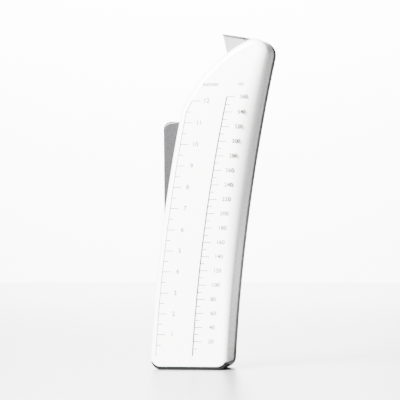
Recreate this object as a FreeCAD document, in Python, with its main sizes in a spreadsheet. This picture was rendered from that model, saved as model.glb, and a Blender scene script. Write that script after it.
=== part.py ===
import FreeCAD, Part
import math
import os
import Sketcher

from FreeCAD import Placement, Rotation, Vector

# A hand-held measuring pourer.  A flat, leaning vessel carries two volume scales on its front.
# A lever on its left side, squeezed toward the body, draws a rod down and lifts the spout's flap.
# X runs to the right, Y to the back and Z up.  The origin is in the middle of the foot, on the ground.

SIZES = {
    # the body's outline, seen from the front
    "crown_z": 236.2,
    "base_half_width": 29.0,
    "foot_lean": 2.9,
    "left_bend_radius": 1355.0,
    "right_bend_radius": 1483.0,
    "shoulder_drop": 43.2,
    "shoulder_height": "=crown_z - shoulder_drop",
    "shoulder_radius": 105.0,
    "crown_radius": 10.5,
    "corner_radius": 8.0,
    "left_edge_round": 4.2,
    "right_edge_round": 8.0,
    # layers from front to back
    "front_depth": 37.8,
    "gasket_thick": 0.8,
    "back_thick": 2.0,
    "cover_depth": 15.0,
    "shell_wall": 2.4,
    "cover_wall": 1.8,
    "cover_edge_round": 2.0,
    "gasket_inset": 0.4,
    # foot cap and floor
    "foot_thick": 2.7,
    "foot_lip": 0.7,
    "foot_height": 6.2,
    "foot_spigot": 2.2,
    "floor_top": 10.6,
    "floor_wall": 2.0,
    # screws
    "screw_radius": 1.25,
    "screw_head_radius": "=screw_radius + 1.05",
    "screw_head_thick": 1.6,
    "screw_length": 14.0,
    "screw_sink": 5.0,
    "boss_radius": "=screw_radius + 1.95",
    "screw_inset": "=boss_radius + 2.0",
    "low_screw_rise": 6.0,
    "pivot_screw_drop": 22.0,
    "pivot_screw_rise": 20.3,
    "shoulder_screw_rise": 10.8,
    "screw_slack": 0.2,
    "drive_width": 0.7,
    "drive_depth": 0.9,
    # printed scales
    "brim_drop": 30.2,
    "ink_thick": 0.12,
    "tick_width": 0.5,
    "ounce_line_width": 0.5,
    "ml_line_width": 0.9,
    "long_tick": 6.0,
    "short_tick": 3.4,
    "ml_line_inset": 31.8,
    # crank, rod and lever
    "crank_thick": 4.0,
    "flap_travel": 55.0,
    "lever_travel": 9.5,
    "rod_inset": 13.0,
    "rod_thick": 2.0,
    "rod_width": 3.4,
    "rod_pin_radius": 1.25,
    "rod_eye_wall": 1.4,
    "pin_overrun": 1.4,
    "clip_width": 1.3,
    "clip_thick": 0.6,
    "lever_drop": 7.0,
    "lever_top": "=shoulder_height - lever_drop",
    "lever_length": 100.0,
    "pivot_z": "=lever_top - lever_length",
    "pivot_inset": 7.4,
    "pivot_radius": 2.0,
    "pivot_hub_wall": 4.6,
    "arm_thick": 5.0,
    "arm_width": 7.0,
    "arm_lift": 0.8,
    "lever_gap": 0.5,
    "lever_width": "=cover_depth - cover_wall - 2 * lever_gap",
    "lever_wall": 2.0,
    "lever_standoff": 18.0,
    "lever_corner": 5.6,
    "lever_edge_round": 1.6,
    "lever_seat": 3.0,
    "spring_wire": 0.9,
    "spring_coil_radius": 2.8,
    "spring_inset": 13.2,
    "spring_reach": 32.0,
    "post_radius": 1.6,
    "guide_rise": 67.0,
    "guide_half_width": 5.0,
    "guide_half_height": 2.0,
    "guide_lip": 1.6,
    "socket_depth": 1.2,
    # spout and flap, placed from the middle of the crown
    "spout_half_width": 11.0,
    "spout_wall": 1.4,
    "lip_out": 24.0,
    "lip_up": 12.7,
    "lip_slope": 0.15,
    "spout_foot_out": 20.5,
    "spout_root": 1.0,
    "flap_thick": 1.3,
    "flap_gap": 0.25,
    "neck_half_width": 4.0,
    "shaft_radius": 1.5,
    "hub_radius": "=shaft_radius + 1.2",
    "shaft_up": 3.3,
    "crank_pin_out": 1.9,
    # clearances
    "side_gap": 0.4,
    "run_gap": 0.05,
    "seat_gap": 0.1,
    "pin_end_gap": 0.8,
    "past": 1.0,
    "through_cut": 40.0,
}

doc = FreeCAD.newDocument("measuring_pourer")
sheet = doc.addObject("Spreadsheet::Sheet", "Sizes")
for row, (name, value) in enumerate(SIZES.items(), start=1):
    sheet.set(f"A{row}", name)
    sheet.set(f"B{row}", str(value))
    sheet.setAlias(f"B{row}", name)
doc.recompute()


def size(name):
    """A driving size, read from the sheet."""
    return float(sheet.get(name))


DEPTH = size("front_depth") + size("gasket_thick") + size("back_thick") + size("cover_depth")
FRONT_Y = -DEPTH / 2.0
SEAM_Y = FRONT_Y + size("front_depth")
PLATE_Y = SEAM_Y + size("gasket_thick")
DRY_Y = PLATE_Y + size("back_thick")
BACK_Y = FRONT_Y + DEPTH
SPOUT_Y = (FRONT_Y + size("shell_wall") + PLATE_Y) / 2.0
ARM_Y = DRY_Y + size("arm_lift")
ARM_MIDDLE_Y = ARM_Y + size("arm_thick") / 2.0
CRANK_Y = ARM_Y + size("clip_thick")
ROD_Y = ARM_Y + size("arm_thick") + size("lever_gap")
ROD_BACK_Y = ROD_Y + size("rod_thick")
BORE = size("shaft_radius") + size("run_gap")
WALL = size("shell_wall")
PAST = size("past")
FAR = 400.0


# ---------------------------------------------------------------- outline of the body

def spot(x, z, y=0.0):
    """A point of the front view."""
    return Vector(x, y, z)


def circle_of_side(side):
    """Centre and radius of the long arc that is the body's left or right edge."""
    lean = math.radians(size("foot_lean"))
    radius = size(side + "_bend_radius")
    foot = size("base_half_width") * (-1.0 if side == "left" else 1.0)
    return spot(foot + radius * math.cos(lean), -radius * math.sin(lean)), radius


def edge_x(side, z, inset=0.0):
    """Where the left or right edge is at a height, moved inward by an inset."""
    centre, radius = circle_of_side(side)
    radius += -inset if side == "left" else inset
    return centre.x - math.sqrt(radius**2 - (z - centre.z) ** 2)


def crown_centre():
    """Centre of the crown's arc, which runs smoothly into the right edge."""
    height = size("crown_z")
    return spot(edge_x("right", height, size("crown_radius")), height)


def shoulder_centre():
    """Centre of the arc from the top of the left edge to the crown, which it touches."""
    start = spot(edge_x("left", size("shoulder_height")), size("shoulder_height"))
    crown = crown_centre()
    outer = size("shoulder_radius")
    inner = outer - size("crown_radius")
    gap = (crown - start).Length
    along = (crown - start).normalize()
    across = spot(along.z, -along.x)
    reach = (outer**2 - inner**2 + gap**2) / (2.0 * gap)
    return start + along * reach + across * math.sqrt(outer**2 - reach**2)


def shoulder_z(x, inset=0.0):
    """Height of the shoulder, or of the crown beyond it, at a place across the body."""
    centre = shoulder_centre()
    crown = crown_centre()
    touch = crown + (crown - centre).normalize() * size("crown_radius")
    if x <= touch.x:
        return centre.z + math.sqrt((size("shoulder_radius") - inset) ** 2 - (x - centre.x) ** 2)
    return crown.z + math.sqrt((size("crown_radius") - inset) ** 2 - (x - crown.x) ** 2)


def shoulder_left(z, inset):
    """Where the shoulder is at a height, moved inward by an inset."""
    centre = shoulder_centre()
    return centre.x - math.sqrt((size("shoulder_radius") - inset) ** 2 - (z - centre.z) ** 2)


def crown_meets_right():
    """Where the crown's arc runs into the right edge."""
    centre, _ = circle_of_side("right")
    crown = crown_centre()
    return crown + (centre - crown).normalize() * size("crown_radius")


def arc_between(start, end, centre, radius):
    """The shorter arc of a circle between two points."""
    middle = (start + end) * 0.5 - centre
    return Part.Arc(start, centre + middle.normalize() * radius, end).toShape()


def sharp_outline():
    """The body's outline before its corners are rounded."""
    left_centre, left_radius = circle_of_side("left")
    right_centre, right_radius = circle_of_side("right")
    crown = crown_centre()
    low_left = spot(edge_x("left", 0.0), 0.0)
    low_right = spot(edge_x("right", 0.0), 0.0)
    high_left = spot(edge_x("left", size("shoulder_height")), size("shoulder_height"))
    centre = shoulder_centre()
    touch = crown + (crown - centre).normalize() * size("crown_radius")
    high_right = crown_meets_right()
    return Part.Wire([
        Part.makeLine(low_right, low_left),
        arc_between(low_left, high_left, left_centre, left_radius),
        arc_between(high_left, touch, centre, size("shoulder_radius")),
        arc_between(touch, high_right, crown, size("crown_radius")),
        arc_between(high_right, low_right, right_centre, right_radius),
    ])


def outline(inset=0.0):
    """The outline with rounded corners, moved inward by an inset."""
    shrunk = sharp_outline().makeOffset2D(-size("corner_radius"))
    return shrunk.makeOffset2D(size("corner_radius") - inset)


def plate(inset, start_y, end_y):
    """The outline as a solid between two depths."""
    face = Part.Face(outline(inset))
    solid = face.extrude(Vector(0, end_y - start_y, 0))
    solid.translate(Vector(0, start_y, 0))
    return solid


def box(x0, x1, y0, y1, z0, z1):
    """A box between two corners."""
    return Part.makeBox(x1 - x0, y1 - y0, z1 - z0, Vector(x0, y0, z0))


def foot_zone():
    """The space of the foot cap: a band under the body that thins as it rises round both corners."""
    lip = size("foot_lip")
    core = plate(lip, FRONT_Y - PAST, BACK_Y + PAST)
    core.translate(Vector(0, 0, size("foot_thick") - lip))
    return plate(0.0, FRONT_Y, BACK_Y).common(below(size("foot_height"))).cut(core)


def above(height):
    return box(-FAR, FAR, -FAR, FAR, height, FAR)


def below(height):
    return box(-FAR, FAR, -FAR, FAR, -FAR, height)


def rod_along_y(x, z, radius, start_y, end_y):
    """A round bar that runs from front to back."""
    return Part.makeCylinder(radius, end_y - start_y, spot(x, z, start_y), Vector(0, 1, 0))


def rounded(label, block, edge_y, radius_at):
    """A block whose outline edge at one depth is rounded, by a radius that may change along it."""
    base = doc.addObject("Part::Feature", label + "_block")
    base.Shape = block
    laws = []
    for number, edge in enumerate(block.Edges, start=1):
        ends = [edge.valueAt(edge.FirstParameter), edge.valueAt(edge.LastParameter)]
        if max(abs(point.y - edge_y) for point in ends) < 1e-6:
            laws.append((number, radius_at(ends[0]), radius_at(ends[1])))
    smooth = doc.addObject("Part::Fillet", label + "_rounded")
    smooth.Base = base
    smooth.Edges = laws
    doc.recompute()
    return smooth.Shape.copy()


def rounded_front(label, inset, start_y, end_y):
    """The outline as a block whose front edge is rounded, more on the right than on the left."""
    small = size("left_edge_round") - inset
    large = size("right_edge_round") - inset
    return rounded(label, plate(inset, start_y, end_y), start_y,
                   lambda point: large if on_right(point, inset) else small)


def rounded_back(label, inset, start_y, end_y):
    """The outline as a block whose back edge is rounded evenly."""
    radius = max(size("cover_edge_round") - inset, 0.6)
    return rounded(label, plate(inset, start_y, end_y), end_y, lambda point: radius)


def on_right(point, inset):
    """Whether an outline point lies on the right edge, clear of the foot's corner."""
    on_edge = abs(point.x - edge_x("right", point.z, inset)) < 0.5
    return on_edge and point.z > size("corner_radius") * 0.5


def keep(label, shape):
    """A sub-part whose shape is worked out here from the sheet's sizes."""
    part = doc.addObject("Part::Feature", label)
    part.Label = label
    part.Shape = shape.removeSplitter()
    return part


# ---------------------------------------------------------------- linkage points

def turned(centre, reach, degrees):
    """A point at a distance and an angle from a centre, counted from +X toward +Z."""
    angle = math.radians(degrees)
    return centre + spot(reach * math.cos(angle), reach * math.sin(angle))


def pivot():
    """The lever's axis, a fixed distance inside the left edge."""
    height = size("pivot_z")
    return spot(edge_x("left", height, size("pivot_inset")), height)


def arm_length():
    """The lever's inner arm, which reaches across the body to the rod."""
    height = size("pivot_z")
    return edge_x("right", height, size("rod_inset")) - pivot().x


def crank_arm():
    """The crank's arm, which turns the lever's travel into the flap's."""
    half_flap = math.radians(size("flap_travel") / 2.0)
    half_lever = math.radians(size("lever_travel") / 2.0)
    return arm_length() * math.sin(half_lever) / math.sin(half_flap)


def flap_axis():
    """The flap's shaft, placed so that the crank's pin stays inside the crown."""
    crown = crown_centre()
    return crown + spot(size("crank_pin_out") - crank_arm(), size("shaft_up"))


def arm_spot(reach, lean):
    """A point on the lever's inner arm, which at mid travel stands square to the rod."""
    return turned(pivot(), reach, size("lever_travel") / 2.0 - lean)


def crank_spot(lean):
    """Centre of the crank's pin, whose arm at mid travel stands square to the rod."""
    return turned(flap_axis(), crank_arm(), size("flap_travel") / 2.0 - lean)


def settled_lean():
    """How far the rod leans: the pins' places and the lean depend on each other, so it settles in steps."""
    lean = 0.0
    for _ in range(12):
        along = crank_spot(lean) - arm_spot(arm_length(), lean)
        lean = math.degrees(math.atan2(along.x, along.z))
    return lean


LEAN = settled_lean()
AXIS = flap_axis()
PIVOT = pivot()
ROD_LOW = arm_spot(arm_length(), LEAN)
ROD_HIGH = crank_spot(LEAN)
HOOK = arm_spot(arm_length() - size("spring_inset"), LEAN)
POST = HOOK + spot(0.0, size("spring_reach"))
GUIDE = ROD_LOW + (ROD_HIGH - ROD_LOW).normalize() * size("guide_rise")


# ---------------------------------------------------------------- body shells

def screw_spots():
    """Where the body's screws stand: two down the left, three down the right, two in the shoulder."""
    inset = size("screw_inset")
    low = size("floor_top") + size("boss_radius") + size("low_screw_rise")
    middle = size("pivot_z") - size("pivot_screw_drop")
    high = size("pivot_z") + size("pivot_screw_rise")
    spots = [spot(edge_x("left", z, inset), z) for z in (low, middle)]
    spots += [spot(edge_x("right", z, inset), z) for z in (low, middle, high)]
    in_shoulder = size("shoulder_height") + size("shoulder_screw_rise")
    spots.append(spot(shoulder_left(in_shoulder, inset), in_shoulder))
    by_spout = crown_centre().x - size("spout_foot_out") - 2.0 * size("boss_radius")
    spots.append(spot(by_spout, shoulder_z(by_spout, inset)))
    return spots


def screw_holes(body, radius, start_y, end_y):
    """Bore a body at every screw."""
    for place in screw_spots():
        body = body.cut(rod_along_y(place.x, place.z, radius, start_y, end_y))
    return body


def lip_spot():
    """The spout's lip, which overhangs the shoulder."""
    return crown_centre() + spot(-size("lip_out"), size("lip_up"))


def mouth_right():
    """Right end of the spout's mouth, just clear of the flap's hub."""
    return AXIS.x - size("hub_radius") - size("side_gap") / 2.0 - size("spout_wall")


def spout_profile(gap=0.0):
    """The spout seen from the front: its lip overhangs on the left and its foot sits in the shoulder."""
    lip = lip_spot() + spot(-gap, gap)
    foot_x = crown_centre().x - size("spout_foot_out")
    root = WALL + size("spout_root") + gap
    foot = spot(foot_x - gap, shoulder_z(foot_x) - root)
    right_x = mouth_right() + size("spout_wall")
    low_right = spot(right_x + gap, shoulder_z(right_x) - root - size("spout_wall"))
    return [lip, foot, low_right, spot(right_x + gap, lip.z - 2.0 * size("spout_wall"))]


def prism(points, start_y, end_y):
    """A flat-sided block with a given front view."""
    loop = Part.makePolygon(points + points[:1])
    solid = Part.Face(loop).extrude(Vector(0, end_y - start_y, 0))
    solid.translate(Vector(0, start_y, 0))
    return solid


def pocket_half():
    """Half the width of the space the flap's neck turns in."""
    return size("neck_half_width") + size("side_gap")


def hinge_pocket(grow=0.0):
    """The pocket under the crown in which the flap's neck and hub turn."""
    left = mouth_right() + size("spout_wall") * 0.5
    right = AXIS.x + size("crown_radius") - size("spout_wall")
    low = AXIS.z - size("hub_radius") - size("side_gap")
    half = pocket_half() + grow
    return box(left - grow, right + grow, SPOUT_Y - half, SPOUT_Y + half, low - grow, FAR)


def build_front_shell():
    outer = rounded_front("front_outside", 0.0, FRONT_Y, SEAM_Y).cut(foot_zone())
    inside = rounded_front("front_inside", WALL, FRONT_Y + WALL, SEAM_Y + PAST)
    shell = outer.cut(inside.common(above(size("floor_top"))))
    recess = plate(WALL, FRONT_Y + WALL, SEAM_Y - WALL)
    shell = shell.cut(recess.common(below(size("floor_top") - size("floor_wall"))))
    boss_start = SEAM_Y - size("screw_length")
    for place in screw_spots():
        boss = rod_along_y(place.x, place.z, size("boss_radius"), boss_start, SEAM_Y)
        shell = shell.fuse(boss.common(plate(WALL * 0.5, FRONT_Y, BACK_Y)))
    shell = screw_holes(shell, size("screw_radius"), boss_start + size("screw_head_thick"), SEAM_Y + PAST)
    gap = size("seat_gap")
    half = size("spout_half_width") + gap
    hole = prism(spout_profile(gap), SPOUT_Y - half, SPOUT_Y + half)
    shell = shell.cut(hole.common(above(size("shoulder_height"))))
    return keep("front_shell", shell.cut(hinge_pocket(size("spout_wall") + gap)))


def build_foot_cap():
    """A boot round the foot, with a spigot that fills the hollow under the floor."""
    front = rounded_front("foot_front", 0.0, FRONT_Y, BACK_Y)
    back = rounded_back("foot_back", 0.0, FRONT_Y, BACK_Y)
    cap = foot_zone().common(front).common(back)
    inset = WALL + size("seat_gap")
    core = inset + size("foot_spigot")
    spigot = plate(inset, FRONT_Y + inset, SEAM_Y - inset).cut(plate(core, FRONT_Y + core, SEAM_Y - core))
    top = size("floor_top") - size("floor_wall") - PAST
    spigot = spigot.common(above(size("foot_thick") * 0.8)).common(below(top))
    return keep("foot_cap", cap.fuse(spigot))


def build_shell_gasket():
    inset = size("gasket_inset")
    whole = plate(inset, SEAM_Y, PLATE_Y)
    seal = whole.cut(plate(WALL, SEAM_Y - PAST, PLATE_Y + PAST)).cut(foot_zone())
    for place in screw_spots():
        pad = rod_along_y(place.x, place.z, size("boss_radius") - size("screw_slack"), SEAM_Y, PLATE_Y)
        seal = seal.fuse(pad.common(whole))
    bar = box(-FAR, FAR, SEAM_Y, PLATE_Y, size("floor_top") - size("floor_wall"), size("floor_top"))
    seal = seal.fuse(bar.common(whole))
    bore = size("screw_radius") + size("screw_slack")
    return keep("shell_gasket", screw_holes(seal, bore, SEAM_Y - PAST, PLATE_Y + PAST))


def guide_foot(end_y):
    """The block by which the rod's guide sits in the vessel's back."""
    wide, high = size("guide_half_width"), size("guide_half_height")
    start_y = PLATE_Y + size("pin_end_gap")
    return box(GUIDE.x - wide, GUIDE.x + wide, start_y, end_y, GUIDE.z - high, GUIDE.z + high)


def build_vessel_back():
    """The vessel's flat back, which also carries the post of the spring."""
    panel = plate(0.0, PLATE_Y, DRY_Y).cut(foot_zone())
    panel = screw_holes(panel, size("screw_radius") + size("screw_slack"), PLATE_Y - PAST, DRY_Y + PAST)
    post_end = ARM_MIDDLE_Y + size("spring_coil_radius") + size("lever_gap")
    panel = panel.fuse(rod_along_y(POST.x, POST.z, size("post_radius"), DRY_Y - PAST, post_end))
    panel = panel.cut(rod_along_y(AXIS.x, AXIS.z, BORE + bush_wall(), PLATE_Y - PAST, DRY_Y + PAST))
    seat_y = PLATE_Y + size("pin_end_gap")
    panel = panel.cut(rod_along_y(PIVOT.x, PIVOT.z, size("pivot_radius"), seat_y, DRY_Y + PAST))
    return keep("vessel_back", panel.cut(guide_foot(DRY_Y + PAST)))


def screw_seat():
    """Depth at which the screw heads bear."""
    return BACK_Y - size("screw_head_thick") - size("screw_sink")


def build_rear_cover():
    """The cover over the linkage, open on the left where the lever comes out."""
    wall = size("cover_wall")
    outside = rounded_back("cover_outside", 0.0, DRY_Y, BACK_Y).cut(foot_zone())
    inside = rounded_back("cover_inside", wall, DRY_Y - PAST, BACK_Y - wall)
    cover = outside.cut(inside.common(above(size("foot_thick") + wall)))
    for place in screw_spots():
        pillar = rod_along_y(place.x, place.z, size("boss_radius"), DRY_Y, BACK_Y)
        cover = cover.fuse(pillar.common(outside))
    pin_end = BACK_Y - size("pin_end_gap")
    socket_wall = size("pivot_radius") + 2.0 * size("socket_depth")
    socket_start = pin_end - size("socket_depth")
    cover = cover.fuse(rod_along_y(PIVOT.x, PIVOT.z, socket_wall, socket_start, BACK_Y - wall * 0.5))
    slack = size("screw_slack")
    cover = screw_holes(cover, size("screw_radius") + slack, DRY_Y - PAST, BACK_Y + PAST)
    cover = screw_holes(cover, size("screw_head_radius") + slack, screw_seat(), BACK_Y + PAST)
    cover = cover.cut(rod_along_y(PIVOT.x, PIVOT.z, size("pivot_radius"), DRY_Y, pin_end))
    top = size("lever_top") + 2.0 * size("side_gap")
    low = PIVOT.z - size("pivot_radius") - 2.0 * size("pivot_hub_wall")
    right = edge_x("left", top, wall + size("lever_seat"))
    return keep("rear_cover", cover.cut(box(-FAR, right, DRY_Y - PAST, BACK_Y - wall, low, top)))


def build_cover_screws():
    """The body's screws, all alike."""
    seat = screw_seat()
    wide = size("drive_width") / 2.0
    long = size("screw_head_radius") * 0.7
    drive_y = seat + size("screw_head_thick") - size("drive_depth")
    tip = SEAM_Y - size("screw_length") + 1.5 * size("screw_head_thick")
    screws = []
    for place in screw_spots():
        head = rod_along_y(place.x, place.z, size("screw_head_radius"), seat, seat + size("screw_head_thick"))
        shank = rod_along_y(place.x, place.z, size("screw_radius"), tip, seat + size("screw_slack"))
        upright = box(place.x - wide, place.x + wide, drive_y, FAR, place.z - long, place.z + long)
        level = box(place.x - long, place.x + long, drive_y, FAR, place.z - wide, place.z + wide)
        screws.append(head.fuse(shank).cut(upright).cut(level))
    part = doc.addObject("Part::Feature", "cover_screws")
    part.Label = "cover_screws"
    part.Shape = Part.makeCompound(screws)
    return part


# ---------------------------------------------------------------- scales

HALF_OUNCE = 29.5735 / 2.0
TEN_ML = 10.0


def fill_heights(step_ml):
    """Heights at which the vessel holds each whole step of volume, up to the brim."""
    inside = rounded_front("scale_inside", WALL, FRONT_Y + WALL, PLATE_Y).common(above(size("floor_top")))
    inside = screw_holes(inside, size("boss_radius"), SEAM_Y - size("screw_length"), PLATE_Y)
    brim = size("crown_z") - size("brim_drop")
    cubic_mm = step_ml * 1000.0
    slice_count = 40
    slice_high = (brim - size("floor_top")) / slice_count
    heights = []
    level = size("floor_top")
    held = 0.0
    for _ in range(slice_count):
        more = inside.common(below(level + slice_high)).Volume - held
        while held + more >= cubic_mm * (len(heights) + 1):
            heights.append(level + slice_high * (cubic_mm * (len(heights) + 1) - held) / more)
        level += slice_high
        held += more
    return heights


def build_scale(label, inset_name, width_name, step_ml):
    """A printed scale: a line that follows the left edge, with a long tick at each second step."""
    front = FRONT_Y - size("ink_thick")
    inset = size(inset_name)
    half = size(width_name) / 2.0
    along_rim = inset < size("base_half_width") / 2.0
    tick_half = size("tick_width") / 2.0
    heights = fill_heights(step_ml)
    top = heights[-1]
    if along_rim:
        line = plate(inset - half, front, FRONT_Y).cut(plate(inset + half, front - PAST, FRONT_Y + PAST))
    else:
        circle, radius = circle_of_side("left")
        line = rod_along_y(circle.x, circle.z, radius - inset + half, front, FRONT_Y)
        line = line.cut(rod_along_y(circle.x, circle.z, radius - inset - half, front - PAST, FRONT_Y + PAST))
    low = size("foot_thick") + size("corner_radius")
    right = edge_x("left", top, inset) + size("long_tick") * 2.0
    line = line.common(box(-FAR, right, front, FRONT_Y, low, top + tick_half))
    ticks = []
    for number, z in enumerate(heights, start=1):
        reach = size("short_tick") if number % 2 else size("long_tick")
        on_shoulder = along_rim and z > size("shoulder_height")
        x = shoulder_left(z, inset) if on_shoulder else edge_x("left", z, inset)
        ticks.append(box(x, x + reach, front, FRONT_Y, z - tick_half, z + tick_half))
    return keep(label, line.multiFuse(ticks))


# ---------------------------------------------------------------- spout and flap

def build_pour_spout():
    """A wedge-shaped funnel with sloping lip, and the pocket of the hinge beside it."""
    wall = size("spout_wall")
    half = size("spout_half_width")
    outer = prism(spout_profile(), SPOUT_Y - half, SPOUT_Y + half)
    lip, foot, low_right, top_right = spout_profile()
    inner_left = wall * 0.8
    above_lip = lip.z + size("lip_up")
    under_foot = foot.z - size("lip_up")
    loop = [spot(lip.x + inner_left, above_lip), lip + spot(inner_left, 0.0)]
    loop += [foot + spot(inner_left, 0.0), spot(foot.x + inner_left, under_foot)]
    loop += [spot(low_right.x - wall, under_foot), spot(top_right.x - wall, above_lip)]
    mouth = prism(loop, SPOUT_Y - half + wall, SPOUT_Y + half - wall)
    slope = size("lip_slope")
    out = size("lip_out")
    roof = prism([lip + spot(-out, out * slope), spot(lip.x - out, FAR), spot(FAR, FAR),
                  spot(FAR, lip.z - slope * (FAR - lip.x))], SPOUT_Y - FAR, SPOUT_Y + FAR)
    pocket = hinge_pocket(wall).common(plate(0.0, FRONT_Y, BACK_Y))
    spout = outer.cut(mouth).fuse(pocket).cut(hinge_pocket()).cut(roof)
    reach = pocket_half() + 2.0 * wall
    return keep("pour_spout", spout.cut(rod_along_y(AXIS.x, AXIS.z, BORE, SPOUT_Y - reach, SPOUT_Y + reach)))


def flap_under(x):
    """Height of the flap's underside, which lies along the sloping lip."""
    lip = lip_spot()
    return lip.z + size("flap_gap") - size("lip_slope") * (x - lip.x)


def build_spout_flap():
    """The lid over the spout's mouth, with a neck that turns about the shaft."""
    half = size("spout_half_width")
    thick = size("flap_thick")
    rise = spot(0.0, thick)
    left_x = lip_spot().x - size("lever_gap")
    left = spot(left_x, flap_under(left_x))
    right = spot(mouth_right(), flap_under(mouth_right()))
    panel = prism([left, right, right + rise, left + rise], SPOUT_Y - half, SPOUT_Y + half)
    neck_half = size("neck_half_width")
    hub = rod_along_y(AXIS.x, AXIS.z, size("hub_radius"), SPOUT_Y - neck_half, SPOUT_Y + neck_half)
    tip_x = AXIS.x + size("shaft_radius")
    step = size("seat_gap")
    near = mouth_right() - PAST
    hub_left = AXIS.x - size("hub_radius") + step
    loop = [spot(near, right.z + 2.0 * step), spot(hub_left, right.z - thick / 2.0), spot(hub_left, AXIS.z)]
    loop += [spot(tip_x, AXIS.z), spot(tip_x, flap_under(tip_x) + thick), spot(near, flap_under(near) + thick)]
    neck = prism(loop, SPOUT_Y - neck_half, SPOUT_Y + neck_half)
    flap = panel.fuse(neck).fuse(hub)
    shaft = rod_along_y(AXIS.x, AXIS.z, size("shaft_radius"), SPOUT_Y - half, SPOUT_Y + half)
    return keep("spout_flap", flap.cut(shaft))


def build_flap_seal():
    """A soft rim under the flap that closes on the inside of the mouth."""
    wall = size("spout_wall")
    drop = 1.1 * wall
    half = size("spout_half_width") - wall - size("side_gap")
    x0 = lip_spot().x + wall + 3.0 * size("side_gap")
    x1 = mouth_right() - 1.5 * wall
    taper = size("side_gap")
    loop = [spot(x0, flap_under(x0)), spot(x0 + taper, flap_under(x0) - drop)]
    loop += [spot(x1 - taper, flap_under(x1) - drop), spot(x1, flap_under(x1))]
    outer = prism(loop, SPOUT_Y - half, SPOUT_Y + half)
    inner = box(x0 + wall, x1 - wall, SPOUT_Y - half + wall, SPOUT_Y + half - wall, 0.0, FAR)
    return keep("flap_seal", outer.cut(inner))


# ---------------------------------------------------------------- pieces drawn as flat profiles

class Piece:
    """A PartDesign body whose profiles are drawn in the front view."""

    def __init__(self, label):
        self.body = doc.addObject("PartDesign::Body", label)
        self.body.Label = label
        self.count = 0

    def sketch(self, middle_y):
        self.count += 1
        drawing = self.body.newObject("Sketcher::SketchObject", f"{self.body.Name}_sketch{self.count}")
        front = next(f for f in self.body.Origin.OriginFeatures if f.Role == "XZ_Plane")
        drawing.AttachmentSupport = (front, "")
        drawing.MapMode = "FlatFace"
        drawing.AttachmentOffset = Placement(Vector(0, 0, -middle_y), Rotation())
        return drawing

    def feature(self, kind, drawing, length):
        made = self.body.newObject("PartDesign::" + kind, f"{self.body.Name}_{kind}{self.count}")
        made.Profile = drawing
        made.SideType = "Symmetric"
        made.setExpression("Length", length)
        drawing.Visibility = False
        doc.recompute()
        return made

    def straight(self, kind, points, middle_y, length):
        """Add or cut a straight-sided profile."""
        drawing = self.sketch(middle_y)
        flat = [Vector(p.x, p.z, 0) for p in points]
        for start, end in zip(flat, flat[1:] + flat[:1]):
            drawing.addGeometry(Part.LineSegment(start, end))
        return self.feature(kind, drawing, length)

    def circle(self, kind, centre, radius, middle_y, length):
        """Add or cut a circle whose radius is bound to the sheet."""
        drawing = self.sketch(middle_y)
        start = sheet.evalExpression(radius)
        drawing.addGeometry(Part.Circle(Vector(centre.x, centre.z, 0), Vector(0, 0, 1), start))
        drawing.addConstraint(Sketcher.Constraint("Radius", 0, start))
        drawing.setExpression("Constraints[0]", radius)
        return self.feature(kind, drawing, length)

    def soften(self, feature, chosen, radius):
        """Round the outer edges that lie in the front and back planes and pass a test."""
        bounds = feature.Shape.BoundBox
        names = []
        for number, edge in enumerate(feature.Shape.Edges, start=1):
            ends = [vertex.Point for vertex in edge.Vertexes]
            flat = any(all(abs(p.y - y) < 1e-4 for p in ends) for y in (bounds.YMin, bounds.YMax))
            if flat and all(chosen(p) for p in ends):
                names.append(f"Edge{number}")
        fillet = self.body.newObject("PartDesign::Fillet", f"{self.body.Name}_softened")
        fillet.Base = (feature, names)
        fillet.setExpression("Radius", radius)
        doc.recompute()


def band(start, end, width):
    """Corners of a straight strip about a line."""
    along = (end - start).normalize()
    side = spot(-along.z, along.x) * (width / 2.0)
    return [start + side, end + side, end - side, start - side]


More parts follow.
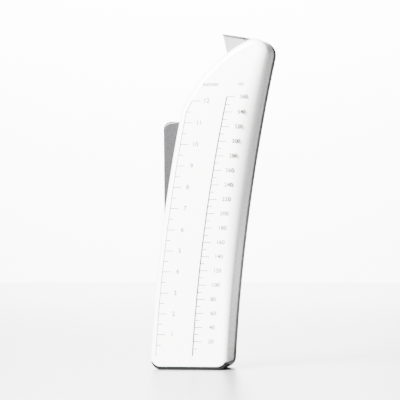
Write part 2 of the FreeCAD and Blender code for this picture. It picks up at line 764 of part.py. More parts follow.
def build_squeeze_lever():
    """The grip outside the body, its hub and the inner arm that draws the rod."""
    lever = Piece("lever_blank")
    middle = DRY_Y + (size("cover_depth") - size("cover_wall")) / 2.0
    top = size("lever_top")
    face = edge_x("left", top) - size("lever_standoff")
    corner = size("lever_corner")
    wall = size("lever_wall")
    hub = size("pivot_radius") + size("pivot_hub_wall")
    corner_spots = [turned(spot(face + corner, top - corner), corner, 180.0 - 15.0 * n) for n in range(7)]
    low = PIVOT.z + 2.4 * hub
    inner_top = spot(edge_x("left", top, size("cover_wall") + size("lever_seat") - PAST), top)
    inner_low = spot(edge_x("left", low, size("cover_wall") + size("lever_seat")), low)
    grip = [spot(face + wall * 0.35, PIVOT.z + 1.5 * hub)] + corner_spots + [inner_top, inner_low]
    grip += [turned(PIVOT, 0.9 * hub, 20.0), turned(PIVOT, 0.9 * hub, 230.0), spot(face + 1.5 * wall, PIVOT.z)]
    lever.straight("Pad", grip, middle, "Sizes.lever_width")
    lever.circle("Pad", PIVOT, "Sizes.pivot_radius + Sizes.pivot_hub_wall", middle, "Sizes.lever_width")
    open_x = inner_top.x + corner
    floor = PIVOT.z + 2.7 * hub
    hollow = [spot(face + 1.35 * wall, floor), spot(face + wall, top - corner), spot(face + corner, top - wall),
              spot(open_x, top - wall), spot(open_x, floor)]
    hollowed = lever.straight("Pocket", hollow, middle, "Sizes.lever_width - 2 * Sizes.lever_wall")
    lever.soften(hollowed, lambda p: p.z > PIVOT.z + 1.4 * hub and p.x < edge_x("left", p.z),
                 "Sizes.lever_edge_round")
    lever.straight("Pad", band(PIVOT, ROD_LOW, size("arm_width")), ARM_MIDDLE_Y, "Sizes.arm_thick")
    lever.circle("Pad", ROD_LOW, "Sizes.arm_width / 2 + 0.35", ARM_MIDDLE_Y, "Sizes.arm_thick")
    lever.circle("Pocket", ROD_LOW, "Sizes.rod_pin_radius", ARM_MIDDLE_Y, "Sizes.through_cut")
    lever.circle("Pocket", PIVOT, "Sizes.pivot_radius + Sizes.run_gap", middle, "Sizes.through_cut")
    eye = doc.addObject("Part::Cylinder", "hook_hole")
    eye.setExpression("Radius", "Sizes.spring_wire / 2 + 0.25")
    eye.setExpression("Height", "Sizes.through_cut")
    eye.Placement = Placement(spot(HOOK.x, HOOK.z - size("through_cut") / 2.0, ARM_MIDDLE_Y), Rotation())
    whole = doc.addObject("Part::Cut", "squeeze_lever")
    whole.Label = "squeeze_lever"
    whole.Base = lever.body
    whole.Tool = eye
    return whole


def build_pull_rod():
    """The flat rod; its upper eye is a slot across the rod, because the crank's pin swings sideways."""
    rod = Piece("pull_rod")
    middle = (ROD_Y + ROD_BACK_Y) / 2.0
    swing = crank_arm() * (1.0 - math.cos(math.radians(size("flap_travel") / 2.0)))
    across = turned(spot(0, 0), 1.0, -LEAN)
    ends = [ROD_HIGH - across * 0.25, ROD_HIGH + across * (swing + 0.15)]
    eye = size("rod_pin_radius") + size("rod_eye_wall")
    slack = size("seat_gap")
    rod.straight("Pad", band(ROD_LOW, ROD_HIGH, size("rod_width")), middle, "Sizes.rod_thick")
    rod.straight("Pad", band(*ends, 2.0 * eye), middle, "Sizes.rod_thick")
    for place in [ROD_LOW] + ends:
        rod.circle("Pad", place, "Sizes.rod_pin_radius + Sizes.rod_eye_wall", middle, "Sizes.rod_thick")
    rod.circle("Pocket", ROD_LOW, "Sizes.rod_pin_radius + Sizes.run_gap", middle, "Sizes.through_cut")
    for place in ends:
        rod.circle("Pocket", place, "Sizes.rod_pin_radius + Sizes.seat_gap", middle, "Sizes.through_cut")
    rod.straight("Pocket", band(*ends, 2.0 * (size("rod_pin_radius") + slack)), middle, "Sizes.through_cut")
    return rod.body


def build_flap_crank():
    """The crank pressed on the flap's shaft."""
    crank = Piece("flap_crank")
    middle = CRANK_Y + size("crank_thick") / 2.0
    crank.circle("Pad", AXIS, "Sizes.shaft_radius + 1.5", middle, "Sizes.crank_thick")
    crank.circle("Pad", ROD_HIGH, "Sizes.rod_pin_radius + 1.2", middle, "Sizes.crank_thick")
    crank.straight("Pad", band(AXIS, ROD_HIGH, 1.3 * size("rod_width")), middle, "Sizes.crank_thick")
    crank.circle("Pocket", AXIS, "Sizes.shaft_radius", middle, "Sizes.through_cut")
    crank.circle("Pocket", ROD_HIGH, "Sizes.rod_pin_radius", middle, "Sizes.through_cut")
    return crank.body


def pin(label, place, radius, start_y, end_y):
    """A plain round pin from front to back, with its radius bound to the sheet."""
    made = doc.addObject("Part::Cylinder", label)
    made.Label = label
    made.setExpression("Radius", radius)
    made.Height = end_y - start_y
    made.Placement = Placement(spot(place.x, place.z, start_y), Rotation(Vector(1, 0, 0), -90.0))
    return made


def collar(label, place, inner, outer, start_y, end_y):
    """A flat ring about a pin."""
    made = doc.addObject("Part::Cut", label)
    made.Label = label
    made.Base = pin(label + "_disc", place, outer, start_y, end_y)
    made.Tool = pin(label + "_hole", place, inner, start_y - PAST, end_y + PAST)
    return made


def bush_wall():
    return size("hub_radius") - size("shaft_radius")


def build_lever_spring():
    """A tension spring from the lever's arm up to its post."""
    y = ARM_MIDDLE_Y
    wire = size("spring_wire") / 2.0
    coil = size("spring_coil_radius")
    tail = size("arm_width") / 2.0 + 3.0 * wire
    low = HOOK.z + 1.6 * size("arm_width") / 2.0
    high = POST.z - size("post_radius") - coil
    turns = 11
    helix = Part.makeHelix((high - low) / turns, high - low, coil)
    section = Part.Wire(Part.makeCircle(wire, Vector(coil, 0, 0), Vector(0, 1, 0)))
    coils = Part.Wire(helix).makePipeShell([section], True, True)
    coils.translate(spot(HOOK.x, low, y))
    eye_radius = size("post_radius") + size("seat_gap") + wire
    level = Vector(1, 0, 0)
    ends = [
        Part.makeCylinder(wire, low - HOOK.z + tail, spot(HOOK.x, HOOK.z - tail, y)),
        Part.makeCylinder(wire, coil, spot(HOOK.x, low, y), level),
        Part.makeCylinder(wire, coil, spot(HOOK.x, HOOK.z - tail, y), level),
        Part.makeCylinder(wire, coil, spot(HOOK.x, high, y), level),
        Part.makeCylinder(wire, POST.z - eye_radius - high, spot(HOOK.x, high, y)),
        Part.makeTorus(eye_radius, wire, spot(POST.x, POST.z, y), Vector(0, 1, 0)),
    ]
    return keep("lever_spring", coils.multiFuse(ends))


def build_rod_guide():
    """A clip on the vessel's back that keeps the rod from rattling."""
    gap = size("side_gap")
    reach = (ROD_HIGH - ROD_LOW).normalize() * size("guide_half_width") * 3.0
    block = guide_foot(ROD_BACK_Y + gap + size("guide_lip"))
    ends = (GUIDE - reach, GUIDE + reach)
    path = prism(band(*ends, size("rod_width") + 4.0 * gap), ROD_Y - gap, ROD_BACK_Y + gap)
    mouth = prism(band(*ends, size("rod_width") - 2.0 * gap), ROD_Y, BACK_Y)
    return keep("rod_guide", block.cut(path).cut(mouth))


def build_all():
    """Every sub-part, in the order in which they are put together."""
    parts = [build_front_shell(), build_foot_cap(), build_shell_gasket(), build_vessel_back(),
             build_rear_cover(), build_cover_screws()]
    parts.append(build_scale("ounce_scale", "left_edge_round", "ounce_line_width", HALF_OUNCE))
    parts.append(build_scale("millilitre_scale", "ml_line_inset", "ml_line_width", TEN_ML))
    parts += [build_pour_spout(), build_spout_flap(), build_flap_seal()]
    parts += [build_squeeze_lever(), build_pull_rod(), build_flap_crank(), build_lever_spring()]
    parts.append(build_rod_guide())
    shaft_start = SPOUT_Y - pocket_half() - size("spout_wall")
    shaft_end = CRANK_Y + size("crank_thick") + PAST
    pin_end = ROD_BACK_Y + size("pin_overrun")
    gap = size("pin_end_gap")
    parts.append(pin("flap_shaft", AXIS, "Sizes.shaft_radius", shaft_start, shaft_end))
    parts.append(pin("crank_pin", ROD_HIGH, "Sizes.rod_pin_radius", CRANK_Y, pin_end))
    parts.append(pin("rod_pin", ROD_LOW, "Sizes.rod_pin_radius", ARM_Y, pin_end))
    parts.append(pin("lever_pivot_pin", PIVOT, "Sizes.pivot_radius", PLATE_Y + gap, BACK_Y - gap))
    bore = "Sizes.shaft_radius + Sizes.run_gap"
    bush_end = DRY_Y + size("clip_thick")
    parts.append(collar("shaft_bush", AXIS, bore, "Sizes.hub_radius + Sizes.run_gap", PLATE_Y, bush_end))
    clip_y = ROD_BACK_Y + size("lever_gap")
    for label, place in (("rod_pin_clip", ROD_LOW), ("crank_pin_clip", ROD_HIGH)):
        parts.append(collar(label, place, "Sizes.rod_pin_radius", "Sizes.rod_pin_radius + Sizes.clip_width",
                            clip_y, clip_y + size("clip_thick")))
    return parts


def write_parts(parts):
    """Check every object, then write one file for each sub-part."""
    doc.recompute()
    for thing in doc.Objects:
        if "Invalid" in thing.State or "Error" in thing.State:
            raise RuntimeError(f"{thing.Label} could not be made: {thing.State}")
    os.makedirs("parts", exist_ok=True)
    for part in parts:
        shape = part.Shape
        if shape.isNull() or not shape.isValid() or shape.Volume <= 0.0:
            raise RuntimeError(f"{part.Label} has no valid solid")
        shape.exportStep(f"parts/{part.Label}.step")
        print(f"{part.Label}: {len(shape.Solids)} solid(s), {shape.Volume / 1000.0:.2f} cm3")


write_parts(build_all())
print(f"pivot {PIVOT.x:.4f} {PIVOT.z:.4f}, rod's lower pin {ROD_LOW.x:.4f} {ROD_LOW.z:.4f},",
      f"flap {AXIS.x:.4f} {AXIS.z:.4f}, travel ratio {size('flap_travel') / size('lever_travel'):.6f}")
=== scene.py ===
# %% [markdown]
# # A squeeze-lever measuring pourer
# This is a hand-held vessel for kitchen liquids, a quarter of a metre tall and narrow enough for one hand.
# Two printed scales on its flat front show how much it holds.
# Squeezing the lever on its left draws a hidden rod down, and the rod lifts the flap that closes the spout.
# The engineering model already gives every piece its place and shape.
# So this lesson dresses the pieces, prints the numbers beside the scales and lights the whole softly.

# %% Load the engineering model
import math

import bmesh
import bpy
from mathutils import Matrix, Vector


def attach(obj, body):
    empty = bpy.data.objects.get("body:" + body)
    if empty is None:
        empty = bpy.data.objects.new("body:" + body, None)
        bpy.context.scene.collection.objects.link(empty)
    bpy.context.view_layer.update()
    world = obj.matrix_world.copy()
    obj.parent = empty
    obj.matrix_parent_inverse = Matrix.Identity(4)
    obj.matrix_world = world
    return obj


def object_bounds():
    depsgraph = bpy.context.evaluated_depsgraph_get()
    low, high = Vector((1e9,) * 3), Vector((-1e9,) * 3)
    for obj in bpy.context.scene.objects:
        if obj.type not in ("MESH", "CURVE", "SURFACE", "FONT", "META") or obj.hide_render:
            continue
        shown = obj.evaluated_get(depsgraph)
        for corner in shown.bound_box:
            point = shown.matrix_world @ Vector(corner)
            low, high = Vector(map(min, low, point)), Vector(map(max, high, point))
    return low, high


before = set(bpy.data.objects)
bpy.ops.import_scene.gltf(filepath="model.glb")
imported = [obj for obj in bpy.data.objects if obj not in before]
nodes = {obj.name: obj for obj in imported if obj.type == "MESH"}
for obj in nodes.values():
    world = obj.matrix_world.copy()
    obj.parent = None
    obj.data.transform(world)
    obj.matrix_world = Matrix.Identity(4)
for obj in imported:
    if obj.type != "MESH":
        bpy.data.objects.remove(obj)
cad_low, cad_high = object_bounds()
MM = 0.001
print("pieces:", len(nodes))
print("overall size in mm:", [round(v / MM, 1) for v in cad_high - cad_low])

# %% [markdown]
# ## Colours as a maker quotes them
# A maker quotes a plastic's colour as an sRGB value from a chart, but a shader works with linear light.
# The values could be converted by hand, but then nobody could compare them with the chart again.
# So one function converts them, and every colour below stays readable as a hex value.


# %% Colour helper
def linear(hex_colour):
    """An sRGB hex value as linear light."""
    channels = [int(hex_colour[i:i + 2], 16) / 255.0 for i in (1, 3, 5)]
    light = [c / 12.92 if c <= 0.04045 else ((c + 0.055) / 1.055) ** 2.4 for c in channels]
    return (*light, 1.0)


print("polished white in linear light:", [round(c, 3) for c in linear("#F7F7F5")[:3]])

# %% [markdown]
# ## Nodes in one line each
# A material is a short list of layers, and it should read like one.
# One function adds a node, sets it and wires it, so a layer takes one line instead of five.
# Some nodes have two inputs of the same name, so these can be fed by their order instead.


# %% Node helpers
def add(tree, kind, settings=None, feeds=(), **inputs):
    """One shader node with its settings; each input is a value, or an output socket to link from.

    feeds fills the sockets in their order, and the other inputs fill them by name.
    """
    node = tree.nodes.new(kind)
    for name, value in (settings or {}).items():
        setattr(node, name, value)
    by_name = [(name.replace("_", " "), value) for name, value in inputs.items()]
    for place, value in list(enumerate(feeds)) + by_name:
        socket = node.inputs[place]
        if isinstance(value, bpy.types.NodeSocket):
            tree.links.new(value, socket)
        else:
            socket.default_value = value
    return node


def blank(name):
    """A new material and its empty node tree."""
    material = bpy.data.materials.new(name)
    material.use_nodes = True
    material.node_tree.nodes.clear()
    return material, material.node_tree


print("each node of a material comes from", add.__name__)

# %% [markdown]
# ## Worn edges
# Moulded edges are never sharp.
# The tool's corner is rounded by a few tenths of a millimetre, and hands polish it.
# The rounding could be modelled on every edge, but that would multiply the mesh for something so small.
# Instead the bevel node bends the light's normal near an edge.
# Where the bent normal leaves the face's own, the surface is on a rim, and a soft noise breaks that rim up.

# %% Edge layer
DUST_MM = 6.0


def worn_edges(tree, here, edge_mm):
    """The rounded normal, and a mask that is 1 where hands have rubbed an edge."""
    edge = add(tree, "ShaderNodeBevel", {"samples": 6}, Radius=edge_mm * MM)
    flat = add(tree, "ShaderNodeNewGeometry")
    same = add(tree, "ShaderNodeVectorMath", {"operation": "DOT_PRODUCT"},
               feeds=(edge.outputs["Normal"], flat.outputs["Normal"]))
    rim = add(tree, "ShaderNodeMapRange", Value=same.outputs["Value"],
              From_Min=0.995, From_Max=0.80, To_Min=0.0, To_Max=1.0)
    dust = add(tree, "ShaderNodeTexNoise", Vector=here, Scale=1.0 / (DUST_MM * MM), Detail=6.0, Roughness=0.7)
    patches = add(tree, "ShaderNodeMapRange", Value=dust.outputs["Fac"],
                  From_Min=0.35, From_Max=0.65, To_Min=0.25, To_Max=1.0)
    rubbed = add(tree, "ShaderNodeMath", {"operation": "MULTIPLY", "use_clamp": True},
                 feeds=(rim.outputs["Result"], patches.outputs["Result"]))
    return edge.outputs["Normal"], rubbed.outputs["Value"]


print("rubbed patches are about", DUST_MM, "mm wide")

# %% [markdown]
# ## Moulded plastic and rubber
# A moulded surface is never one flat colour.
# The melt flows in slow streaks a few centimetres long, the tool leaves a grain of tenths of a millimetre,
# and use adds fine scuffs.
# All the plastics have these same layers and differ only in their numbers, so one function makes them all.
# Each layer's scale is given in millimetres, so a close view shows grain of the right size.

# %% One function for moulded surfaces
FLOW_MM = 35.0
SCUFF_MM = 4.0
GLOSS_SPREAD = 0.04


def moulded(name, colour, drift, worn, rough, grain_mm, depth_mm, edge_mm, ior, scuffs=0.06, mirror=0.5):
    """Colour drift, mould grain in height and gloss, rounded worn edges and fine scuffs."""
    material, tree = blank(name)
    here = add(tree, "ShaderNodeTexCoord").outputs["Object"]
    rounded, rubbed = worn_edges(tree, here, edge_mm)

    flow = add(tree, "ShaderNodeTexNoise", Vector=here, Scale=1.0 / (FLOW_MM * MM), Detail=2.0)
    body = add(tree, "ShaderNodeMix", {"data_type": "RGBA"}, Factor=flow.outputs["Fac"],
               A=linear(colour), B=linear(drift))
    skin = add(tree, "ShaderNodeMix", {"data_type": "RGBA"}, Factor=rubbed,
               A=body.outputs["Result"], B=linear(worn))

    grain = add(tree, "ShaderNodeTexNoise", Vector=here, Scale=1.0 / (grain_mm * MM), Detail=4.0,
                Roughness=0.6)
    gloss = add(tree, "ShaderNodeMapRange", Value=grain.outputs["Fac"],
                From_Min=0.3, From_Max=0.7, To_Min=rough - GLOSS_SPREAD, To_Max=rough + GLOSS_SPREAD)
    # hands move up and down the piece, so its scuffs are eight times as long as they are wide
    upright = add(tree, "ShaderNodeMapping", Vector=here, Scale=(8.0, 8.0, 1.0))
    scratch = add(tree, "ShaderNodeTexNoise", Vector=upright.outputs["Vector"], Scale=1.0 / (SCUFF_MM * MM),
                  Detail=3.0)
    scuffed = add(tree, "ShaderNodeMapRange", Value=scratch.outputs["Fac"],
                  From_Min=0.55, From_Max=0.75, To_Min=0.0, To_Max=scuffs)
    dull = add(tree, "ShaderNodeMath", {"operation": "ADD", "use_clamp": True},
               feeds=(gloss.outputs["Result"], scuffed.outputs["Result"]))

    relief = add(tree, "ShaderNodeBump", Height=grain.outputs["Fac"], Distance=depth_mm * MM, Strength=1.0,
                 Normal=rounded)
    shader = add(tree, "ShaderNodeBsdfPrincipled", Base_Color=skin.outputs["Result"],
                 Roughness=dull.outputs["Value"], Normal=relief.outputs["Normal"], IOR=ior)
    # a deep grain shades itself from flat light, so less of it mirrors
    shader.inputs["Specular IOR Level"].default_value = mirror
    add(tree, "ShaderNodeOutputMaterial", Surface=shader.outputs["BSDF"])
    return material


print("streaks", FLOW_MM, "mm, scuffs", SCUFF_MM, "mm")

# %% [markdown]
# ## The white shell
# The front of the vessel is ABS from a polished tool.
# It could be a plain white, but a polished tool leaves faint waves about two millimetres long.
# They are only thousandths of a millimetre deep, so they show at a glancing angle and nowhere else.

# %% White shell
# what the eye gets: bright and clean, with a soft broad gloss that turns to shade only at the roundings
white_abs = moulded("white_abs_from_a_polished_tool", colour="#F7F7F5", drift="#F3F3F1", worn="#FAFAF8",
                    rough=0.28, grain_mm=2.0, depth_mm=0.002, edge_mm=0.30, ior=1.54)
print("shell:", white_abs.name, "with", len(white_abs.node_tree.nodes), "nodes")

# %% [markdown]
# ## The dark cover and the foot
# The rear cover is ABS too, but from a spark-eroded tool.
# Sparks leave tiny craters, so the surface is an even matt grain that hides fingerprints.
# The foot is an elastomer moulded over the lower edge.
# It is almost black, and a little powdery where it rubs on a table.
# Both mirror much less than a smooth plastic, and this keeps them dark beside the bright floor and sheet.
# Their near-black tones are partly their own colour and partly painted shade, which draws the dark line along
# the right side and the base.

# %% Dark cover and foot
# what the eye gets: a quiet charcoal line that frames the white body and never glints; this charcoal is
# partly painted shade along the right side
charcoal_abs_partly_painted_shade = moulded("spark_eroded_abs_partly_painted_shade", colour="#242426", drift="#1F1F21", worn="#363638",
                   rough=0.40, grain_mm=0.35, depth_mm=0.010, edge_mm=0.35, ior=1.54, mirror=0.12)
# what the eye gets: the deepest tone of the whole, partly painted shade along the base, softly greyed along
# its rubbed edge
foot_elastomer_partly_painted_shade = moulded("moulded_foot_partly_painted_base_shade", colour="#141415", drift="#111112", worn="#242425",
                    rough=0.36, grain_mm=0.30, depth_mm=0.012, edge_mm=0.40, ior=1.50, scuffs=0.10,
                    mirror=0.2)
print("cover and foot:", charcoal_abs_partly_painted_shade.name, "and", foot_elastomer_partly_painted_shade.name)

# %% [markdown]
# ## The lever, the spout and its flap
# The lever takes the squeeze of a hand, so it is polypropylene, which bends many times without cracking.
# Its tool is etched with a fine leather-like grain for grip, and fingers polish its edges.
# The spout and the flap come from smoother tools, because liquid has to run off them.

# %% Lever, spout and flap
# what the eye gets: a dark grey that lifts to a mid grey in the front light, with a fine sparkle of grain
lever_pp = moulded("grained_grey_polypropylene", colour="#202022", drift="#1C1C1E", worn="#303032",
                   rough=0.28, grain_mm=0.45, depth_mm=0.015, edge_mm=0.40, ior=1.49)
# what the eye gets: a pale even grey, a step darker than the shell, so the small spout can be found
spout_pp = moulded("smooth_grey_polypropylene", colour="#7E7E7D", drift="#787877", worn="#8C8C8B",
                   rough=0.42, grain_mm=0.90, depth_mm=0.004, edge_mm=0.25, ior=1.49)
# what the eye gets: a thin darker lid that draws the spout's upper edge
flap_pp = moulded("smooth_darker_grey_polypropylene", colour="#3A3A3B", drift="#363637", worn="#4A4A4B",
                  rough=0.48, grain_mm=0.90, depth_mm=0.004, edge_mm=0.25, ior=1.49)
print("lever, spout and flap:", lever_pp.name, spout_pp.name, flap_pp.name)

# %% [markdown]
# ## Seals, sliding parts and ink
# The gasket and the flap's seal are pressed from silicone, which stays soft beside hot liquids.
# The crank, the bush and the guide are machined from acetal, because it slides on steel without grease.
# The scales are pad printed.
# A soft pad lifts ink from an etched plate and sets it on the shell as a thin film.

# %% Seals, sliding parts and ink
# what the eye gets: a dull line that takes up light, softer than the plastics beside it
dark_silicone = moulded("pressed_dark_silicone", colour="#2A2A2B", drift="#262627", worn="#383839",
                        rough=0.62, grain_mm=0.50, depth_mm=0.006, edge_mm=0.20, ior=1.41, scuffs=0.08)
# what the eye gets: a milky white with a waxy gloss, clearly not the shell's white
acetal = moulded("machined_natural_acetal", colour="#EDEDE7", drift="#E6E6DF", worn="#F2F2EE",
                 rough=0.38, grain_mm=0.80, depth_mm=0.004, edge_mm=0.20, ior=1.48)
# what the eye gets: crisp lines, which read as grey from afar because they are so thin
ink = moulded("pad_printed_black_ink", colour="#0C0C0D", drift="#111112", worn="#1C1C1D",
              rough=0.30, grain_mm=0.25, depth_mm=0.002, edge_mm=0.05, ior=1.50, scuffs=0.02)
print("seals, sliding parts and ink:", dark_silicone.name, acetal.name, ink.name)

# %% [markdown]
# ## Steel
# The pins, clips and the spring are stainless steel, pulled through a die and then tumbled.
# Drawing leaves fine lines along the wire, so the gloss changes across it every few tenths of a millimetre.
# An image of brushed metal could be wrapped round each pin.
# Stretched noise gives the same lines at any size, and needs no image.

# %% Drawn steel
CLOUD_MM = 5.0
LINE_SPREAD = 0.07


def drawn_steel(name, colour, darker, rough, line_mm):
    """Bare steel whose gloss is broken by fine drawing lines and whose tone drifts a little."""
    material, tree = blank(name)
    here = add(tree, "ShaderNodeTexCoord").outputs["Object"]
    cloud = add(tree, "ShaderNodeTexNoise", Vector=here, Scale=1.0 / (CLOUD_MM * MM), Detail=3.0)
    tone = add(tree, "ShaderNodeMix", {"data_type": "RGBA"}, Factor=cloud.outputs["Fac"],
               A=linear(colour), B=linear(darker))

    # most pins lie along the depth of the body, so the lines are stretched that way
    along = add(tree, "ShaderNodeMapping", Vector=here, Scale=(1.0, 0.08, 1.0))
    lines = add(tree, "ShaderNodeTexNoise", Vector=along.outputs["Vector"], Scale=1.0 / (line_mm * MM),
                Detail=3.0)
    gloss = add(tree, "ShaderNodeMapRange", Value=lines.outputs["Fac"],
                From_Min=0.3, From_Max=0.7, To_Min=rough - LINE_SPREAD, To_Max=rough + LINE_SPREAD)

    edge = add(tree, "ShaderNodeBevel", {"samples": 4}, Radius=0.15 * MM)
    relief = add(tree, "ShaderNodeBump", Height=lines.outputs["Fac"], Distance=0.002 * MM, Strength=1.0,
                 Normal=edge.outputs["Normal"])
    shader = add(tree, "ShaderNodeBsdfPrincipled", Base_Color=tone.outputs["Result"], Metallic=1.0,
                 Roughness=gloss.outputs["Result"], Normal=relief.outputs["Normal"])
    add(tree, "ShaderNodeOutputMaterial", Surface=shader.outputs["BSDF"])
    return material


# what the eye gets: bright bands along each pin, with a fine broken glint
stainless = drawn_steel("drawn_stainless_steel", colour="#C9CACC", darker="#B9BABD", rough=0.26, line_mm=0.12)
# what the eye gets: a greyer, duller metal, since plating covers the lines with fine crystals
zinced = drawn_steel("zinc_plated_screw_steel", colour="#B4B6B8", darker="#A2A5A8", rough=0.34, line_mm=0.20)
print("steels:", stainless.name, "and", zinced.name)

# %% [markdown]
# ## Give each piece its finish
# The list below goes from the shells to the linkage.
# Everything that it doesn't name is a pin, a clip, the spring or the rod, and these are stainless.

# %% Finishes of all pieces
FINISH = {
    # the vessel back and the rear cover take a charcoal, and the foot a near-black, that are partly painted
    # shade along the right side and base
    "front_shell": white_abs, "foot_cap": foot_elastomer_partly_painted_shade, "shell_gasket": dark_silicone, "vessel_back": charcoal_abs_partly_painted_shade,
    "rear_cover": charcoal_abs_partly_painted_shade, "cover_screws": zinced, "ounce_scale": ink, "millilitre_scale": ink,
    "pour_spout": spout_pp, "spout_flap": flap_pp, "flap_seal": dark_silicone, "squeeze_lever": lever_pp,
    "flap_crank": acetal, "shaft_bush": acetal, "rod_guide": acetal,
}
for name, node in nodes.items():
    node.data.materials.clear()
    node.data.materials.append(FINISH.get(name, stainless))
print("steel pieces:", sorted(set(nodes) - set(FINISH)))

# %% [markdown]
# ## Find where the numbers go
# The real numbers are printed in the same pass as the lines.
# They are in a plain sans face, about three millimetres high.
# Their heights could be typed in, but then they would be wrong as soon as the vessel's shape changed.
# So they are read from the printed ticks of the model, whose places come from the vessel's true volume.
# A long tick stands out because it reaches furthest from its base line.

# %% Long ticks of a printed scale
LEVEL = 0.5 * MM
LONG_REACH = 5.0 * MM
NEXT_TICK = 1.0 * MM


def long_ticks(scale_name):
    """Base line place and height of every long tick, lowest first."""
    scale = nodes[scale_name]
    points = [scale.matrix_world @ v.co for v in scale.data.vertices]
    found = []
    for point in sorted(points, key=lambda p: p.z):
        beside = [p.x for p in points if abs(p.z - point.z) < LEVEL]
        if point.x - min(beside) > LONG_REACH:
            if not found or point.z - found[-1][-1].z > NEXT_TICK:
                found.append([])
            found[-1].append(Vector((min(beside), 0.0, point.z)))
    return [(min(p.x for p in tick), sum(p.z for p in tick) / len(tick)) for tick in found]


ounce_ticks = long_ticks("ounce_scale")
millilitre_ticks = long_ticks("millilitre_scale")
print("whole ounces:", len(ounce_ticks), "and 20 ml steps:", len(millilitre_ticks))

# %% [markdown]
# ## Letters as flat outlines
# Blender's own text object gives a plain sans face, so no font file is needed.
# Each word is turned into flat faces and put in its place on the front of the shell.
# The words of one scale are gathered into one mesh, as one printing pad carries them all.

# %% Flat letters
# the part of a letter's size that a capital or a digit fills
CAPITAL_SHARE = 0.72


def flat_letters(words, letter_mm, front):
    """Corners and faces of all words; each word comes with the place of its centre."""
    corners, faces = [], []
    for word, x, z in words:
        curve = bpy.data.curves.new("letters", "FONT")
        curve.body = word
        curve.size = letter_mm * MM / CAPITAL_SHARE
        curve.align_x = "CENTER"
        curve.align_y = "CENTER"
        curve.resolution_u = 3
        letters = bpy.data.objects.new("letters", curve)
        mesh = bpy.data.meshes.new_from_object(letters)
        start = len(corners)
        corners += [(x + v.co.x, front, z + v.co.y) for v in mesh.vertices]
        faces += [[start + i for i in face.vertices] for face in mesh.polygons]
        bpy.data.objects.remove(letters)
    return corners, faces


print("corners of one digit:", len(flat_letters([("4", 0.0, 0.0)], 3.0, 0.0)[0]))

# %% [markdown]
# ## Wet ink spreads
# A pad presses the ink, so every stroke comes out a little wider than the plate's.
# The text object can widen letters too, but it fills the small window of a 4.
# So each corner of an outline is moved outward here, by the mean of its two edges' directions.

# %% Spread of the ink
INK_SPREAD = 0.09 * MM


def spread_ink(flat):
    """Move the outline of flat letters outward."""
    moves = {}
    for edge in flat.edges:
        if len(edge.link_faces) == 1:
            first, second = edge.verts
            run = (second.co - first.co).normalized()
            out = Vector((run.z, 0.0, -run.x))
            if out.dot(first.co - edge.link_faces[0].calc_center_median()) < 0.0:
                out.negate()
            for corner in edge.verts:
                moves[corner] = moves.get(corner, Vector()) + out
    for corner, out in moves.items():
        corner.co += out.normalized() * INK_SPREAD


print("strokes grow by", round(2.0 * INK_SPREAD / MM, 2), "mm")

# %% [markdown]
# ## Print the films
# The film is less than a tenth of a millimetre thick, so it stays inside the film of the printed lines.
# It is a closed body all the same, because an open sheet would vanish at a glancing angle.

# %% Print words and numbers
FILM_SET_BACK = 0.02 * MM
FILM_THICKNESS = 0.08 * MM
SAME_CORNER = 0.001 * MM


def print_film(name, words, letter_mm):
    """One film of ink on the front face that carries all the words."""
    corners, faces = flat_letters(words, letter_mm, cad_low.y + FILM_SET_BACK)
    film = bpy.data.meshes.new(name)
    film.from_pydata(corners, [], faces)
    film.materials.append(ink)
    whole = bmesh.new()
    whole.from_mesh(film)
    bmesh.ops.remove_doubles(whole, verts=whole.verts, dist=SAME_CORNER)
    spread_ink(whole)
    grown = bmesh.ops.extrude_face_region(whole, geom=whole.faces[:])
    bmesh.ops.translate(whole, vec=(0.0, FILM_THICKNESS, 0.0),
                        verts=[piece for piece in grown["geom"] if isinstance(piece, bmesh.types.BMVert)])
    bmesh.ops.recalc_face_normals(whole, faces=whole.faces)
    open_edges = sum(1 for edge in whole.edges if len(edge.link_faces) != 2)
    whole.to_mesh(film)
    whole.free()
    printed = bpy.data.objects.new(name, film)
    bpy.context.collection.objects.link(printed)
    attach(printed, "vessel")
    print(name, "carries", len(words), "words and", open_edges, "open edges")


# %% Ounces
OUNCE_OUT = 11.0 * MM
OUNCE_LETTER_MM = 3.4
print_film("ounce_numbers",
           [(str(n + 1), x + OUNCE_OUT, z) for n, (x, z) in enumerate(ounce_ticks)], OUNCE_LETTER_MM)

# %% Millilitres
MILLILITRE_OUT = 12.8 * MM
MILLILITRE_LETTER_MM = 3.1
MILLILITRE_STEP = 20
print_film("millilitre_numbers",
           [(str(MILLILITRE_STEP * (n + 1)), x + MILLILITRE_OUT, z)
            for n, (x, z) in enumerate(millilitre_ticks)],
           MILLILITRE_LETTER_MM)

# %% Names of the units, above both scales
HEAD_RISE = 12.5 * MM
OUNCE_NAME_OUT = 14.0 * MM
MILLILITRE_NAME_OUT = 11.0 * MM
UNIT_LETTER_MM = 3.0
head_z = ounce_ticks[-1][1] + HEAD_RISE
print_film("unit_names", [("ounces", ounce_ticks[-1][0] + OUNCE_NAME_OUT, head_z),
                          ("ml", millilitre_ticks[-1][0] + MILLILITRE_NAME_OUT, head_z)], UNIT_LETTER_MM)

# %% [markdown]
# ## Which way the camera looks
# The stage is built around the camera's own directions, so these come first.
# The camera stands a few degrees to the right, so a thin strip of the right side and the cover's edge show.

# %% Camera directions
YAW = math.radians(8.0)
across = Vector((math.cos(YAW), math.sin(YAW), 0.0))
away = Vector((-math.sin(YAW), math.cos(YAW), 0.0))
up = Vector((0.0, 0.0, 1.0))
print("the camera looks along", [round(v, 3) for v in away])

# %% [markdown]
# ## The stage
# A white product stands in front of a brighter sheet, so that its own soft shade draws its edges.
# The sheet is no wider than the view needs.
# A wider one would shine along the right side and wash out its shade.
# The floor is glazed grey card.
# At the camera's low angle it mirrors the sheet, and so it reads as nearly white.
# A white floor would look the same from here, but it would throw its light up into the shade as well.


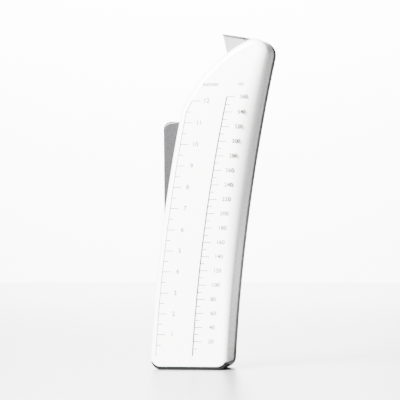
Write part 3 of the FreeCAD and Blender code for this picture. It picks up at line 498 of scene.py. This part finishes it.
# %% Card and panels
def card(name, colour, rough):
    """Glazed card: a paper fibre's slight change of gloss under a clear surface."""
    material, tree = blank(name)
    fibre = add(tree, "ShaderNodeTexNoise", Scale=1.0 / (3.0 * MM), Detail=3.0)
    gloss = add(tree, "ShaderNodeMapRange", Value=fibre.outputs["Fac"],
                From_Min=0.0, From_Max=1.0, To_Min=rough - 0.02, To_Max=rough + 0.02)
    shader = add(tree, "ShaderNodeBsdfPrincipled", Base_Color=linear(colour), IOR=1.49,
                 Roughness=gloss.outputs["Result"])
    add(tree, "ShaderNodeOutputMaterial", Surface=shader.outputs["BSDF"])
    return material


def panel(name, corners, material):
    """A flat stage panel."""
    mesh = bpy.data.meshes.new(name)
    mesh.from_pydata([tuple(c) for c in corners], [], [(0, 1, 2, 3)])
    mesh.materials.append(material)
    thing = bpy.data.objects.new(name, mesh)
    bpy.context.collection.objects.link(thing)
    print(name, "is", [round(v, 2) for v in thing.dimensions], "m")


# %% Card floor
FLOOR_HALF = 3.0
# what the eye gets: a smooth pale ground with a faint blurred mirror image under the foot
panel("card_floor", [(-FLOOR_HALF, -FLOOR_HALF, 0.0), (FLOOR_HALF, -FLOOR_HALF, 0.0),
                     (FLOOR_HALF, FLOOR_HALF, 0.0), (-FLOOR_HALF, FLOOR_HALF, 0.0)],
      card("glazed_grey_card", "#9C9C9C", 0.30))

# %% Lit sheet
SHEET_BACK = 2.6
SHEET_HALF = 0.36
SHEET_TALL = 1.4
middle = away * SHEET_BACK
side = across * SHEET_HALF
top = up * SHEET_TALL
# what the eye gets: an even white behind the object, without a seam or a glint
panel("lit_sheet", [middle - side, middle + side, middle + side + top, middle - side + top],
      card("matt_white_sheet", "#F4F4F4", 0.80))

# %% [markdown]
# ## The lamps
# A large soft box high on the left lights the front and leaves the right side in its own shade.
# A long narrow lamp hangs behind the object and lights only the sheet.
# The room adds a little light from everywhere, so no shadow turns black.


# %% Lamps and surroundings
def softbox(name, place, target, wide, tall, power):
    """A rectangular lamp that looks at a point."""
    lamp = bpy.data.lights.new(name, "AREA")
    lamp.shape = "RECTANGLE"
    lamp.size = wide
    lamp.size_y = tall
    lamp.energy = power
    holder = bpy.data.objects.new(name, lamp)
    holder.location = place
    holder.rotation_euler = (Vector(target) - Vector(place)).to_track_quat("-Z", "Y").to_euler()
    bpy.context.collection.objects.link(holder)
    print(name, "gives", power, "W from", round((Vector(target) - Vector(place)).length, 2), "m")


ROOM_LIGHT = 0.22
softbox("key_front_left", (-0.62, -1.35, 0.95), (0.0, 0.0, 0.12), wide=0.75, tall=0.75, power=360.0)
softbox("sheet_lamp", away * 1.9 + up * 1.5, away * SHEET_BACK + up * 0.35, wide=1.1, tall=0.3, power=420.0)
world = bpy.data.worlds.new("dim_white_room")
world.use_nodes = True
world.node_tree.nodes["Background"].inputs["Color"].default_value = (1.0, 1.0, 1.0, 1.0)
world.node_tree.nodes["Background"].inputs["Strength"].default_value = ROOM_LIGHT
bpy.context.scene.world = world

# %% [markdown]
# ## The camera
# It stands two and a half metres away, at half the vessel's height, and looks level.
# From nearer, the back of the body would shrink behind the front, and the right side would vanish.

# %% Front camera
DISTANCE = 2.5
FIELD = 0.301
SENSOR_MM = 36.0
AIM_RIGHT = 0.0052
AIM_HEIGHT = 0.1267
aim = across * AIM_RIGHT + up * AIM_HEIGHT
lens = bpy.data.cameras.new("front_view")
lens.sensor_width = SENSOR_MM
lens.lens = SENSOR_MM * DISTANCE / FIELD
lens.clip_end = 20.0
camera = bpy.data.objects.new("front_view", lens)
camera.location = aim - away * DISTANCE
camera.rotation_euler = (math.radians(90.0), 0.0, YAW)
bpy.context.collection.objects.link(camera)
bpy.context.scene.camera = camera
print("lens:", round(lens.lens), "mm, view", FIELD, "m wide")
